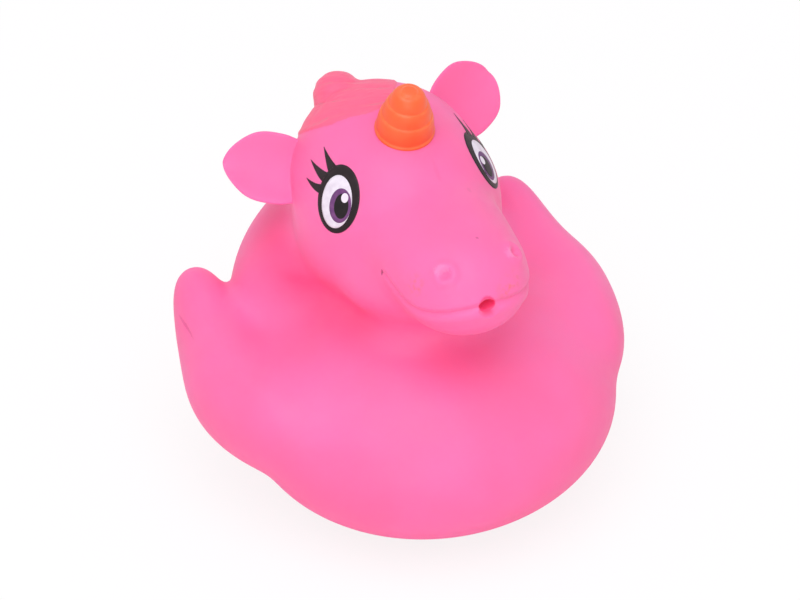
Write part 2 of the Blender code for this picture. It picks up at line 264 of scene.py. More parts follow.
tail = {
    "root": (0, 27.0, 23.9), "reach": 14.0, "rise": 12.0, "width": 24.0, "height": 16.0,
    "tip": 6.0,
}

# side of the small cubes, and how often the valleys are softened
skin = {"grain": 0.66, "trunkPasses": 76, "passes": 13}


def wingForm(side):
    # A limb from the front root along the hull's side to the raised tip; each section is a
    # share of the wing's own sizes
    w = wings
    thick, deep, tip = w["thickness"] / 2, w["depth"] / 2, w["tip"] / 2
    x, (_, y, z) = side * (w["reach"] + w["spread"][side]), stand + w["middle"]
    forward, back, rise = w["rootForward"], w["tipBack"], w["tipRise"] + w["lift"][side]
    stations = (
        (x * 0.71, y - forward, z - 2.0, thick * 0.5, deep * 0.5),
        (x * 0.922, y - forward * 0.58, z, thick * 0.81, deep * 0.85),
        (x, y + back * 0.13, z, thick, deep),
        (x * 1.004, y + back * 0.57, z + rise * 0.27, thick * 0.72, deep * 0.8),
        (x * 0.981, y + back, z + rise, tip, tip * 1.1),
    )
    return limbRings(stations, (0, 0, 1))


def muzzleForm():
    # A limb that narrows from the skull to the nose
    h = head
    wide, high = h["muzzleWidth"] / 2, h["muzzleHeight"] / 2
    x, y, z = stand + h["skullMiddle"]
    reach, rise = h["muzzleReach"], h["muzzleRaise"]
    stations = (
        (x, y - reach * 0.1, z + rise, wide * 1.32, high * 1.4),
        (x, y - reach * 0.47, z + rise * 1.4, wide * 1.1, high * 1.14),
        (x, y - reach * 0.74, z + rise, wide * 1.02, high * 1.04),
        (x, y - reach, z + rise * 0.7, wide * 0.9, high * 0.86),
    )
    return limbRings(stations, (0, 0, 1))


def earForm(side):
    # A cupped limb along the ear, whose axes are turned in their plane: along cos a + across
    # sin a, across cos a - along sin a
    e = ears
    flip = np.array([side, 1, 1])
    along, across = flip * e["along"], flip * e["across"]
    a = math.radians(e["turn"][side])
    c, s = math.cos(a), math.sin(a)
    along, across = along * c + across * s, across * c - along * s
    root = stand + flip * e["root"]
    root[2] += side * e["root"][0] * math.tan(math.radians(e["tilt"]))
    front = np.cross(along, across) * side
    nudge = e["nudge"][side]
    root = root - front * e["cup"] * e["sink"] + along * nudge[0] + across * nudge[1]
    stations = [(*(root + along * e["length"] * share + front * lift), e["thickness"] / 2,
                 e["width"] / 2 * width) for share, width, lift in e["sections"]]
    return limbRings(stations, across, cup=side * e["cup"], taper=e["taper"])


def jawForm():
    # A limb on the middle plane, from under the skull to the chin
    stations = [(0, y, z, wide, high) for y, z, wide, high in head["jaw"]]
    return limbRings(np.array(stations) + (*stand, 0, 0), (0, 0, 1))


def crestForm():
    # The roll of hair from the crown down the nape
    m = mane
    stations = [(x, y, z, m["width"] / 2 * w, m["thickness"] / 2 * w) for x, y, z, w in m["crest"]]
    return limbRings(np.array(stations) + (*stand, 0, 0), (0, 1, 0.4))


def tailForm():
    # A limb that rises as it goes back and narrows to its tip
    t = tail
    wide, high, tip = t["width"] / 2, t["height"] / 2, t["tip"] / 2
    x, y, z = stand + t["root"]
    stations = (
        (x, y, z, wide, high),
        (x, y + t["reach"] * 0.55, z + t["rise"] * 0.25, wide * 0.72, high * 0.72),
        (x, y + t["reach"] * 0.95, z + t["rise"] * 0.68, wide * 0.42, high * 0.45),
        (x, y + t["reach"], z + t["rise"], tip, tip),
    )
    return limbRings(stations, (0, 0, 1))


# Local sculpting of the trunk: hollows pressed in, and creases smoothed away

hollows = (
    # middle, radius and depth, beside the neck on the toy's left, mirrored for its right
    ((21.0, -1.0, 37.4), 7.0, 2.8),
    ((24.5, 4.0, 37.0), 6.0, 1.0),
)

hollowFade = (40.0, 44.0)  # heights over which they fade out, below the head

soften = (
    # line, radius, passes: the crease from the neck round the throat, then the wing's root
    (((17.0, -5.5, 38.5), (14.5, -10.5, 38.5), (11.1, -13.5, 38.8), (5.7, -18.0, 38.1),
      (0.0, -20.0, 38.0)), 6.0, 90),
    (((27.5, 7.0, 33.0), (27.0, -3.0, 33.0), (26.5, -13.0, 32.5), (25.0, -22.0, 30.0)), 9.0, 110),
)


def sculpt(mesh):
    # A hollow moves points inward along their normals by its depth times the bell of its
    # radius. A crease is relaxed fully within 0.4 of its radius and less and less beyond.
    for middle, radius, depth in hollows:
        points, normals = readPoints(mesh)
        mirrored = points * (-1, 1, 1)
        for spots in (points, mirrored):
            away = np.linalg.norm(spots - middle, axis=1)
            share = bell(away, radius) * (1 - smoothStep(*hollowFade, points[:, 2]))
            points = points - normals * (depth * share)[:, None]
        writePoints(mesh, points)
    for line, radius, passes in soften:
        points, _ = readPoints(mesh)
        away = np.minimum(lineDistance(points, line)[0], lineDistance(points * (-1, 1, 1), line)[0])
        relax(mesh, 1 - smoothStep(radius * 0.4, radius, away), passes)


def mouldedSkin():
    # The forms run together and sculpted, and then the mane's forms run into them
    b, h = body, head
    trunk = [eggRings(stand + b["hullMiddle"], b["hullSize"]),
             eggRings(stand + b["hullMiddle"] + (0, b["keelBack"], 0), b["keelSize"]),
             eggRings(stand + b["backMiddle"], b["backSize"]),
             eggRings(stand + b["neckMiddle"], b["neckSize"]),
             eggRings(stand + b["throatMiddle"], b["throatSize"]),
             eggRings(stand + h["skullMiddle"] + (h["skullShift"], 0, 0), h["skullSize"]),
             eggRings(stand + h["craniumMiddle"], h["craniumSize"]),
             eggRings(stand + b["collarMiddle"], b["collarSize"]),
             jawForm(), muzzleForm(), tailForm()]
    for side in (-1, 1):
        trunk.append(wingForm(side))
        trunk.append(eggRings(stand + np.array(b["saddleMiddle"]) * (side, 1, 1), b["saddleSize"]))
    trunk = melt("trunk", [makePiece("forms", trunk)], skin["grain"], skin["trunkPasses"])
    sculpt(trunk.data)
    extras = [crestForm(), eggRings(stand + mane["capMiddle"], mane["capSize"])]
    return melt("vinylSkin", [trunk, makePiece("extras", extras)], skin["grain"], skin["passes"])


# Moulded detail, in millimetres

mouth = {
    "height": 54.9, "smile": 1.5, "wave": 2.7, "pivot": -22.0, "end": 1.90,
    "groove": 0.42, "grooveWidth": 0.5,
    "lip": 0.3, "lipWidth": 1.1, "lipBelow": 1.6, "lipThins": (0.8, 1.7),
    "upper": 0.14, "upperWidth": 0.8, "upperAbove": 1.2,
    "corner": (-12.75, -17.9, 54.9), "cornerDepth": 0.3, "cornerRadius": 0.5,
}

nostrils = {
    "middles": ((-6.2, -30.3, 60.8), (7.8, -29.3, 60.6)),
    "ring": 1.6, "raise": 0.5, "ringWidth": 0.9, "dimple": 0.5, "dimpleRadius": 0.8,
}

hair = {
    "slope": (0.0, 0.649, 0.758), "edge": 58.3, "step": 0.32, "pitch": 1.7, "groove": 0.2,
    "parting": -1.5, "partingSlope": 0.6,
    # the crease that splits the tuft behind the crown
    "fork": ((-1.0, 12.6, 72.6), (-2.1, 14.8, 72.1), (-3.4, 15.8, 71.5), (-4.9, 16.4, 71.1),
             (-6.4, 16.7, 70.4), (-7.6, 16.7, 69.7), (-9.0, 16.2, 68.8), (-10.2, 15.4, 68.2)),
    "forkDepth": 0.6, "forkWidth": 0.7,
}

# painted shade beside the neck, in the hollow between head and body: a deeper pink that fades out over the
# two heights
paintedNeckShade = {
    "line": ((-19.5, 12.0, 45.0), (-19.9, 7.3, 43.0), (-19.7, 1.7, 40.0), (-14.5, -9.5, 38.5)),
    "radius": 6.5, "fade": (44.0, 50.0),
}

scuffs = {"middles": ((5.9, -34.4, 58.6), (3.4, -35.6, 57.6), (-10.6, -27.5, 57.8)), "radius": 1.6}

wingNick = {
    "line": ((-37.1, 16.0, 30.8), (-37.8, 11.4, 30.3), (-38.4, 6.5, 29.9)),
    "depth": 0.22, "radius": 0.35,
}

squirt = {
    "middle": (-0.8, -36.3, 56.2), "radius": 1.5, "flatten": 0.78, "depth": 7.0, "dip": 14.0,
    "flare": 0.35,
    # the part inside that is painted a deeper colour as shade in the hole: its two ends from the middle, and
    # its edge
    "shadedPart": ((0, 0.4, 0.1), (0, 7.0, 1.8)), "shadedEdge": (1.5, 1.7),
}


def mouthHeight(points):
    # The mouth runs round the muzzle at height + smile cos(wave phi), phi being the angle
    # round the pivot from straight ahead. Gives the height above it, and phi.
    m = mouth
    phi = np.arctan2(np.abs(points[:, 0]), m["pivot"] - points[:, 1])
    return points[:, 2] - m["height"] - m["smile"] * np.cos(m["wave"] * phi), phi


def maneDepth(points):
    # Distance inside the mane's edge: over the crown it is a sloping plane, a little wavy,
    # which turns back beyond the parting, and down the nape it follows the crest. The ears
    # are outside.
    x, y, z = points.T
    plane = points @ np.array(hair["slope"]) - hair["edge"] + 0.12 * np.sin(1.1 * x + 0.4)
    plane -= hair["partingSlope"] * np.maximum(x - hair["parting"], 0) * (y < 22)
    crest = np.array(mane["crest"])
    nearCrest = mane["width"] / 2 + 0.5 - lineDistance(points, crest[1:, :3])[0]
    depth = np.where(z > 40, np.maximum(plane, nearCrest), -5.0)
    fromSkull = np.linalg.norm(points - head["craniumMiddle"], axis=1)
    ear = np.minimum(np.abs(x) - 11.5, fromSkull - 19.2)
    return np.clip(np.minimum(depth, -ear), -5, 5)


def strandCount(points):
    # Strands lie a pitch apart and run along the hairline, with slow waves
    x = points[:, 0]
    level = points @ np.array(hair["slope"])
    count = (level + 0.1 * x) / hair["pitch"]
    return count + 0.4 * np.sin(0.28 * x + 0.8) + 0.15 * np.sin(0.7 * x + 0.6 * level)


def strandCrease(points):
    # 1 at the bottom of a deep crease between strands, 0 on a strand. Each crease comes and
    # goes along its run.
    strand = strandCount(points)
    patchy = 0.55 + 0.45 * np.sin(0.42 * points[:, 0] + 2.4 * np.floor(strand + 0.5))
    return (0.5 + 0.5 * np.cos(2 * np.pi * strand)) ** 2 * patchy


def moulded(points):
    # How far each point moves along its normal: the mouth's groove between its two lips, a
    # ring and a dimple for each nostril, the nicks, the mane's step and the creases in it
    above, phi = mouthHeight(points)
    m = mouth
    near = (np.abs(above) < 5) & (points[:, 1] < -14) & (points[:, 2] > 46)
    fade = near * (1 - smoothStep(m["end"] - 0.12, m["end"], phi))
    move = -m["groove"] * bell(above, m["grooveWidth"]) * fade
    fullLip = fade * (1 - 0.85 * smoothStep(*m["lipThins"], phi))
    move += m["lip"] * bell(above + m["lipBelow"], m["lipWidth"]) * fullLip
    move += m["upper"] * bell(above - m["upperAbove"], m["upperWidth"]) * fade
    n = nostrils
    for middle in n["middles"]:
        away = np.linalg.norm(points - middle, axis=1)
        move += n["raise"] * bell(away - n["ring"], n["ringWidth"])
        move -= n["dimple"] * bell(away, n["dimpleRadius"])
    corner = np.linalg.norm(points - m["corner"], axis=1)
    move -= m["cornerDepth"] * bell(corner, m["cornerRadius"])
    away, share = lineDistance(points, wingNick["line"])
    move -= wingNick["depth"] * bell(away, wingNick["radius"]) * np.sin(np.pi * share)
    inside = maneDepth(points)
    move += hair["step"] * smoothStep(-0.1, 0.45, inside)
    move -= hair["groove"] * strandCrease(points) * smoothStep(0.4, 1.6, inside)
    away, share = lineDistance(points, hair["fork"])
    ends = np.sin(np.pi * np.clip(share, 0.12, 0.9))
    move -= hair["forkDepth"] * bell(away, hair["forkWidth"]) * ends
    return move


def refine(mesh, chosen):
    # Halves every edge between two chosen points
    bm = bmesh.new()
    bm.from_mesh(mesh)
    bm.edges.ensure_lookup_table()
    ends = np.empty(len(mesh.edges) * 2, np.int32)
    mesh.edges.foreach_get("vertices", ends)
    both = chosen[ends.reshape(-1, 2)].all(axis=1)
    edges = [bm.edges[int(k)] for k in np.nonzero(both)[0]]
    bmesh.ops.subdivide_edges(bm, edges=edges, cuts=1, use_grid_fill=True)
    bm.to_mesh(mesh)
    bm.free()


def detailZone(points, margin):
    # Where the mesh has to be finer: along the mouth, round the nostrils, at the nick in the
    # wing and on the mane
    above, _ = mouthHeight(points)
    zone = (np.abs(above) < 2.6 + margin) & (points[:, 1] < -15 + margin) & (points[:, 2] > 46)
    for middle in nostrils["middles"]:
        zone |= np.linalg.norm(points - middle, axis=1) < 3.2 + margin
    zone |= lineDistance(points, wingNick["line"])[0] < 1.2 + margin
    zone |= maneDepth(points) > -1.0 - margin
    return zone


def fineZone(points, margin):
    # Where it has to be finer still: along the mouth and the mane's edge
    above, _ = mouthHeight(points)
    zone = (np.abs(above) < 1.3 + margin) & (points[:, 1] < -16) & (points[:, 2] > 46)
    return zone | (np.abs(maneDepth(points)) < 0.8 + margin)


def addDetail(obj):
    # The mesh is refined twice where the detail lies, and evened out, before it is moved
    mesh = obj.data
    refine(mesh, detailZone(readPoints(mesh)[0], 0.6))
    relax(mesh, detailZone(readPoints(mesh)[0], 1.0), 3)
    refine(mesh, fineZone(readPoints(mesh)[0], 0.0))
    relax(mesh, fineZone(readPoints(mesh)[0], 0.3), 2)
    points, normals = readPoints(mesh)
    points += normals * moulded(points)[:, None]
    points[:, 2] = np.maximum(points[:, 2], 0.0)  # flat underside
    writePoints(mesh, points)


def combine(obj, other, operation):
    # Boolean with another object, which is then removed
    boolean = obj.modifiers.new("combine", "BOOLEAN")
    boolean.operation, boolean.solver, boolean.object = operation, "EXACT", other
    applyModifiers(obj)
    bpy.data.objects.remove(other, do_unlink=True)


def boreHole(obj):
    # A cutter that slopes down to the mouth and is a little flattened: straight for the
    # bore, flared at the mouth by a quarter circle
    s = squirt
    r, soft = s["radius"], s["flare"]
    bend = np.linspace(0, math.pi / 2, 6)
    radii = [0.02, r, *(r + soft * (1 - np.cos(bend))), r + soft + 1.0, 0.02]
    runs = [s["depth"], s["depth"] - 0.8, *(soft * (1 - np.sin(bend))), -1.5, -1.5]
    turn = np.linspace(0, 2 * math.pi, 48, endpoint=False)
    dip = math.radians(s["dip"])
    inward = np.array((0, math.cos(dip), math.sin(dip)))
    upward = np.array((0, -math.sin(dip), math.cos(dip)))
    radii, runs = np.array(radii)[:, None, None], np.array(runs)[:, None, None]
    ring = np.cos(turn)[:, None] * (1, 0, 0) + s["flatten"] * np.sin(turn)[:, None] * upward
    cutter = makePiece("cutter", [stand + s["middle"] + runs * inward + radii * ring])
    combine(obj, cutter, "DIFFERENCE")


def addAttribute(obj, name, values):
    # One number a point, for the materials to read
    attribute = obj.data.attributes.new(name, "FLOAT", "POINT")
    attribute.data.foreach_set("value", np.asarray(values, np.float32))


def addEars(obj):
    # Joined on after the detail, and the crease round each foot is softened
    combine(obj, makePiece("ears", [earForm(-1), earForm(1)]), "UNION")
    points, _ = readPoints(obj.data)
    fromSkull = np.linalg.norm(points - head["craniumMiddle"], axis=1)
    foot = (np.abs(points[:, 0]) > 11) & (points[:, 1] > 4) & (points[:, 2] > 52) & (fromSkull < 19.3)
    relax(obj.data, foot, 4)


duck = mouldedSkin()
addDetail(duck)
addEars(duck)
boreHole(duck)
points, _ = readPoints(duck.data)
# painted shade on the walls inside the squirt hole, near the bore's axis
boreShadeAway, _ = lineDistance(points, np.array(squirt["middle"]) + squirt["shadedPart"])
shadeAway = np.minimum(*(lineDistance(points * (side, 1, 1), paintedNeckShade["line"])[0] for side in (-1, 1)))
addAttribute(duck, "mane", maneDepth(points))
addAttribute(duck, "strand", strandCrease(points))
addAttribute(duck, "strandCount", strandCount(points))
addAttribute(duck, "boreShade", 1 - smoothStep(*squirt["shadedEdge"], boreShadeAway))
addAttribute(duck, "scuff", sum(bell(np.linalg.norm(points - spot, axis=1), scuffs["radius"])
                                for spot in scuffs["middles"]))
# painted shade beside the neck: a deeper pink where the head overhangs the body
addAttribute(duck, "hollow", bell(shadeAway, paintedNeckShade["radius"])
             * (1 - smoothStep(*paintedNeckShade["fade"], points[:, 2])))
duck.data.shade_smooth()
triangles = sum(len(face.vertices) - 2 for face in duck.data.polygons)
print("skin", len(duck.data.vertices), "points", triangles, "triangles")


# Materials

def toLinear(colour):
    # sRGB hex such as "ff7fbd" to the linear colour that shaders take
    parts = [int(colour[k:k + 2], 16) / 255 for k in (0, 2, 4)]
    return [p / 12.92 if p <= 0.04045 else ((p + 0.055) / 1.055) ** 2.4 for p in parts] + [1.0]


def setNode(tree, node, **values):
    # A name written small is a setting and one with a capital is an input, n6 being the
    # input numbered 6. An input takes a value or another node's output.
    for name, value in values.items():
        numbered = name[0] == "n" and name[1:].isdigit()
        if name[0].islower() and not numbered:
            setattr(node, name, value)
            continue
        socket = node.inputs[int(name[1:]) if numbered else name.replace("_", " ")]
        if isinstance(value, bpy.types.NodeSocket):
            tree.links.new(value, socket)
        else:
            socket.default_value = value


def addNode(tree, kind, out=0, **values):
    # Adds a node with its settings and links, and gives the output that is asked for
    node = tree.nodes.new("ShaderNode" + kind)
    setNode(tree, node, **values)
    return node.outputs[out] if node.outputs else None


def newMaterial(name):
    # A named material, with its nodes and its shader
    material = bpy.data.materials.new(name)
    material.use_nodes = True
    tree = material.node_tree
    return material, tree, tree.nodes["Principled BSDF"]


smooth = {"interpolation_type": "SMOOTHSTEP"}


def patchesAt(tree, place, size, detail, limits, ends=(0.0, 1.0)):
    # Soft-edged patches about so many millimetres across: noise, which runs smoothly from
    # the first end to the second as it goes from one limit to the other
    lumps = addNode(tree, "TexNoise", Vector=place, Scale=1 / (size * mm), Detail=detail)
    return addNode(tree, "MapRange", **smooth, Value=lumps, From_Min=limits[0],
                   From_Max=limits[1], To_Min=ends[0], To_Max=ends[1])


def layCoats(tree, colour, coats):
    # Each coat covers what lies below it by its share of 0 to 1
    for share, tint in coats:
        colour = addNode(tree, "Mix", 2, data_type="RGBA", n0=share, n6=colour, n7=tint)
    return colour


def layGrains(tree, place, grains, normal=None):
    # Unevenness of a surface as bumps on bumps, each with its size across, detail and depth
    for size, detail, depth in grains:
        lumps = addNode(tree, "TexNoise", Vector=place, Scale=1 / (size * mm), Detail=detail)
        under = {"Normal": normal} if normal else {}
        normal = addNode(tree, "Bump", Height=lumps, Strength=1.0, Distance=depth * mm, **under)
    return normal


colours = {
    # painted shade: the deeper pinks beside the neck and inside the squirt hole, and the greyer mane pink in
    # the creases between strands
    "face": "ff73b0", "faceWarm": "ff6ea8", "hollow": "ff5a94", "deep": "ff4580",
    "mane": "ff688f", "maneCreaseShade": "f0708e", "speck": "8a3458", "scuff": "f0707c",
    "horn": "fb6630", "hornDeep": "f4521c", "hornPale": "ff7c48",
    "outline": "1f1519", "white": "ece6f0", "violet": "663b70", "pupil": "161014",
}
paint = {name: toLinear(colour) for name, colour in colours.items()}

marks = (
    # middle, reach along x, y and z, colour, strength: painted shade in the nick at the mouth's
    # corner, specks, a darker line along the nick in the wing, smudges on the forehead and
    # painted highlights on the nostrils
    # painted shade in the nick at the mouth's corner
    ((-12.85, -17.8, 55.0), (0.5, 0.4, 0.75), "5e1436", 0.7),
    ((1.68, -26.8, 64.0), (0.34, 0.34, 0.34), "9c2f60", 0.4),
    ((-16.5, -20.5, 31.5), (0.3, 0.3, 0.3), "a33a66", 0.5),
    # a darker line along the nick in the wing
    ((-37.6, 12.0, 30.4), (1.2, 4.6, 0.32), "d84a86", 0.5),
    ((1.9, -9.9, 67.7), (0.5, 3.4, 2.2), "ea649c", 0.28),
    ((6.4, -14.0, 64.6), (0.5, 0.9, 0.8), "ea6a9c", 0.4),
    # painted highlights on the upper left of each nostril's ring
    ((-7.0, -29.9, 61.7), (1.9, 1.6, 1.1), "ff96ca", 0.45),
    ((6.7, -29.9, 61.3), (1.3, 1.6, 1.0), "ff96ca", 0.45),
)


vinylLook = {
    # sizes in millimetres of the warmer patches, streaks of painted shade in the mane's creases, rubbed and
    # rougher patches
    "warmSize": 22.0, "streakSize": 4.0, "rubSize": 1.1, "roughSize": 3.0,
    "roughness": (0.46, 0.54),
    # specks: how far apart their cells are, and the share of a cell that a speck fades over
    "speckApart": 4.5, "speckReach": (0.022, 0.05), "speckStrength": 0.75,
    # the one cell in twenty-four that holds one
    "speckChosen": (0.955, 0.96),
    # hairs combed into the mane: how many in a strand, how far they wander, how deep
    "hairs": 2.0, "wander": 9.0, "wanderSize": 3.0, "breakSize": 2.2, "hairDepth": 0.03,
    # orange peel, drawn a little coarse so that it shows, and slow ripples
    "grains": ((0.35, 3.0, 0.006), (2.4, 2.0, 0.025)),
    "glow": 0.35, "glowDepth": 2.2, "glowSpread": (1.0, 0.32, 0.5),
    "sheen": 0.06, "sheenTint": "ffd9c4",
}


def markCoats(tree, place):
    # Each mark is an ellipsoid of space, the length of (place - middle) / reach, and fine
    # noise frays its edge
    lumps = addNode(tree, "TexNoise", Vector=place, Scale=1 / (0.5 * mm), Detail=3.0)
    fray = addNode(tree, "Math", operation="MULTIPLY_ADD", n0=lumps, n1=1.1, n2=-0.55)
    coats = []
    for middle, reach, tint, strength in marks:
        centre, radii = tuple((stand + middle) * mm), tuple(np.array(reach) * mm)
        away = addNode(tree, "VectorMath", operation="SUBTRACT", n0=place, n1=centre)
        scaled = addNode(tree, "VectorMath", operation="DIVIDE", n0=away, n1=radii)
        length = addNode(tree, "VectorMath", "Value", operation="LENGTH", n0=scaled)
        frayed = addNode(tree, "Math", operation="ADD", n0=length, n1=fray)
        share = addNode(tree, "MapRange", **smooth, Value=frayed, From_Min=0.5, From_Max=1.1,
                        To_Min=strength, To_Max=0.0)
        coats.append((share, toLinear(tint)))
    return coats


def softVinyl():
    # Soft moulded vinyl: saturated pink that light sinks into a little, so that hollows glow,
    # with a satin skin, a faint orange peel and here and there a dark speck in the plastic.
    # Beside the neck, where the walls face each other, a deeper pink is painted shade, and
    # inside the squirt hole a deeper pink is painted shade too. The mane is sprayed a touch
    # more salmon, with streaks of painted shade in the creases between strands and fine
    # combed hairs.
    v = vinylLook
    material, tree, shader = newMaterial("soft moulded vinyl")
    place = addNode(tree, "TexCoord", "Object")
    names = ("hollow", "mane", "strand", "strandCount", "boreShade", "scuff")
    worked = {name: addNode(tree, "Attribute", "Fac", attribute_name=name) for name in names}

    # the mane, with a slightly fuzzy edge
    fuzz = addNode(tree, "TexNoise", Vector=place, Scale=1 / (0.8 * mm), Detail=3.0)
    edge = addNode(tree, "Math", operation="MULTIPLY_ADD", n0=fuzz, n1=0.5, n2=worked["mane"])
    onMane = addNode(tree, "MapRange", **smooth, Value=edge, From_Min=0.15, From_Max=0.5)
    # painted shade: a greyer pink in streaks along the creases between strands
    creased = addNode(tree, "MapRange", **smooth, Value=worked["strand"], From_Min=0.35, From_Max=0.95)
    streaks = patchesAt(tree, place, v["streakSize"], 3.0, (0.42, 0.62))
    creaseShade = addNode(tree, "Math", operation="MULTIPLY", n0=creased, n1=streaks)
    hairColour = layCoats(tree, paint["mane"], [(creaseShade, paint["maneCreaseShade"])])

    # specks, and the rubbed places
    cells = addNode(tree, "TexVoronoi", Vector=place, Scale=1 / (v["speckApart"] * mm)).node.outputs
    chosen = addNode(tree, "SeparateColor", Color=cells["Color"])
    rare = addNode(tree, "MapRange", **smooth, Value=chosen, From_Min=v["speckChosen"][0],
                   From_Max=v["speckChosen"][1])
    dot = addNode(tree, "MapRange", **smooth, Value=cells["Distance"], From_Min=v["speckReach"][0],
                  From_Max=v["speckReach"][1], To_Min=v["speckStrength"], To_Max=0.0)
    speck = addNode(tree, "Math", operation="MULTIPLY", n0=rare, n1=dot)
    rubs = patchesAt(tree, place, v["rubSize"], 3.0, (0.42, 0.66), (0.0, 0.85))
    rubbed = addNode(tree, "Math", operation="MULTIPLY", n0=worked["scuff"], n1=rubs)

    warm = patchesAt(tree, place, v["warmSize"], 2.0, (0.35, 0.65))
    # painted shade: a deeper pink beside the neck and inside the squirt hole
    coats = [(warm, paint["faceWarm"]), (worked["hollow"], paint["hollow"]), (onMane, hairColour),
             (worked["boreShade"], paint["deep"]), (speck, paint["speck"]), (rubbed, paint["scuff"])]
    colour = layCoats(tree, paint["face"], coats + markCoats(tree, place))

    # hairs as a sine across the strands, broken off here and there
    drift = addNode(tree, "TexNoise", Vector=place, Scale=1 / (v["wanderSize"] * mm), Detail=3.0)
    drift = addNode(tree, "Math", operation="MULTIPLY", n0=drift, n1=v["wander"])
    angle = addNode(tree, "Math", operation="MULTIPLY_ADD", n0=worked["strandCount"],
                    n1=v["hairs"] * 2 * math.pi, n2=drift)
    hairs = addNode(tree, "Math", operation="SINE", n0=angle)
    whole = patchesAt(tree, place, v["breakSize"], 3.0, (0.45, 0.65))
    whole = addNode(tree, "Math", operation="MULTIPLY", n0=onMane, n1=whole)
    combed = addNode(tree, "Math", operation="MULTIPLY", n0=hairs, n1=whole)
    relief = addNode(tree, "Bump", Height=combed, Strength=1.0, Distance=v["hairDepth"] * mm)

    setNode(tree, shader, Base_Color=colour, IOR=1.5, Specular_IOR_Level=0.4,
            Roughness=patchesAt(tree, place, v["roughSize"], 4.0, (0.3, 0.7), v["roughness"]),
            Subsurface_Weight=v["glow"], Subsurface_Scale=v["glowDepth"] * mm,
            Subsurface_Radius=v["glowSpread"], Sheen_Weight=v["sheen"], Sheen_Roughness=0.5,
            Sheen_Tint=toLinear(v["sheenTint"]), Normal=layGrains(tree, place, v["grains"], relief))
    return material


vinyl = softVinyl()
duck.data.materials.append(vinyl)
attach(duck, "root")
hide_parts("duck")


# Horn

horn = {
    "foot": (0, -0.6, 71.4), "lean": 12.0, "sides": 96,
    # radius and height above the foot, along the horn
    "profile": ((4.9, -2.6), (5.3, -0.7), (5.47, -0.1), (5.45, 0.25), (5.3, 0.5), (5.22, 0.8), (5.18, 1.5),
                (5.0, 2.8), (4.78, 3.6), (4.66, 3.9), (4.52, 4.02), (4.42, 4.18), (4.36, 4.6), (4.15, 5.6),
                (3.84, 6.4), (3.68, 6.72), (3.52, 6.84), (3.42, 7.0), (3.34, 7.4), (3.06, 8.2), (2.7, 8.8),
                (2.3, 9.2), (1.95, 9.38), (1.62, 9.44), (1.42, 9.6), (1.1, 9.78), (0.6, 9.84), (0.02, 9.85)),
    # heights where the paint is paler, and how wide that is
    "ledges": (0.35, 3.85, 6.7, 9.5), "ledgeWidth": 0.28,
    # the deeper colour fades out from below the foot to above it
    "deepFrom": -1.0, "deepTo": 2.5, "deepStrength": 0.45,
    "roughness": (0.33, 0.42), "glow": 0.15, "glowDepth": 1.2, "glowSpread": (1.0, 0.4, 0.15),
    "grains": ((0.25, 2.0, 0.006), (1.8, 2.0, 0.025)),
}


def hornRings():
    # The profile of radius and height, rounded by a smooth curve through it, turned about
    # the horn's axis, which leans forward. A slow wave of the radius keeps it handmade.
    profile = smoothThrough(horn["profile"], 150)
    turn = np.linspace(0, 2 * math.pi, horn["sides"], endpoint=False)
    radius = profile[:, :1] * (1 + 0.006 * np.sin(2 * turn + 0.7 * profile[:, 1:]))
    x, y, z = radius * np.cos(turn), radius * np.sin(turn), profile[:, 1:] + 0 * turn
    lean = math.radians(horn["lean"])
    y, z = y * math.cos(lean) - z * math.sin(lean), y * math.sin(lean) + z * math.cos(lean)
    return stand + horn["foot"] + np.stack([x, y, z], -1)


def hornPaint():
    # Sprayed orange paint on the vinyl: satin, a little paler on the ledges, deeper orange
    # near the foot, with a fine spray grain.
    h = horn
    material, tree, shader = newMaterial("sprayed orange paint")
    place = addNode(tree, "TexCoord", "Object")
    height = addNode(tree, "SeparateXYZ", 2, Vector=place)
    foot = (stand[2] + h["foot"][2]) * mm
    deep = addNode(tree, "MapRange", **smooth, Value=height, From_Min=foot + h["deepFrom"] * mm,
                   From_Max=foot + h["deepTo"] * mm, To_Min=h["deepStrength"], To_Max=0.0)
    ledges = addNode(tree, "Attribute", "Fac", attribute_name="ledge")
    # paler orange along the ledges, in patches
    thin = patchesAt(tree, place, 1.6, 3.0, (0.3, 0.65), (0.15, 0.6))
    thin = addNode(tree, "Math", operation="MULTIPLY", n0=ledges, n1=thin)
    colour = layCoats(tree, paint["horn"], [(deep, paint["hornDeep"]), (thin, paint["hornPale"])])
    setNode(tree, shader, Base_Color=colour, IOR=1.5,
            Roughness=patchesAt(tree, place, 1.5, 3.0, (0.3, 0.7), h["roughness"]),
            Subsurface_Weight=h["glow"], Subsurface_Scale=h["glowDepth"] * mm,
            Subsurface_Radius=h["glowSpread"], Normal=layGrains(tree, place, h["grains"]))
    return material


hornPiece = makePiece("hornPaint", [hornRings()])
points, _ = readPoints(hornPiece.data)
lean = math.radians(horn["lean"])
height = (points - horn["foot"]) @ (0, -math.sin(lean), math.cos(lean))
addAttribute(hornPiece, "ledge", sum(bell(height - ledge, horn["ledgeWidth"]) for ledge in horn["ledges"]))
hornPiece.data.shade_smooth()
hornPiece.data.materials.append(hornPaint())
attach(hornPiece, "root")
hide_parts("duck")
print("horn", len(hornPiece.data.polygons), "faces")


# Eyes, a plain design of ellipses, pad-printed on the skin

# the camera: it looks from the distance at the middle, where the picture is so many wide
view = {
    "azimuth": -25.5, "elevation": 37.0, "distance": 1200.0, "middle": (-8.6, -16.7, 46.7),
    "width": 143.2,
}

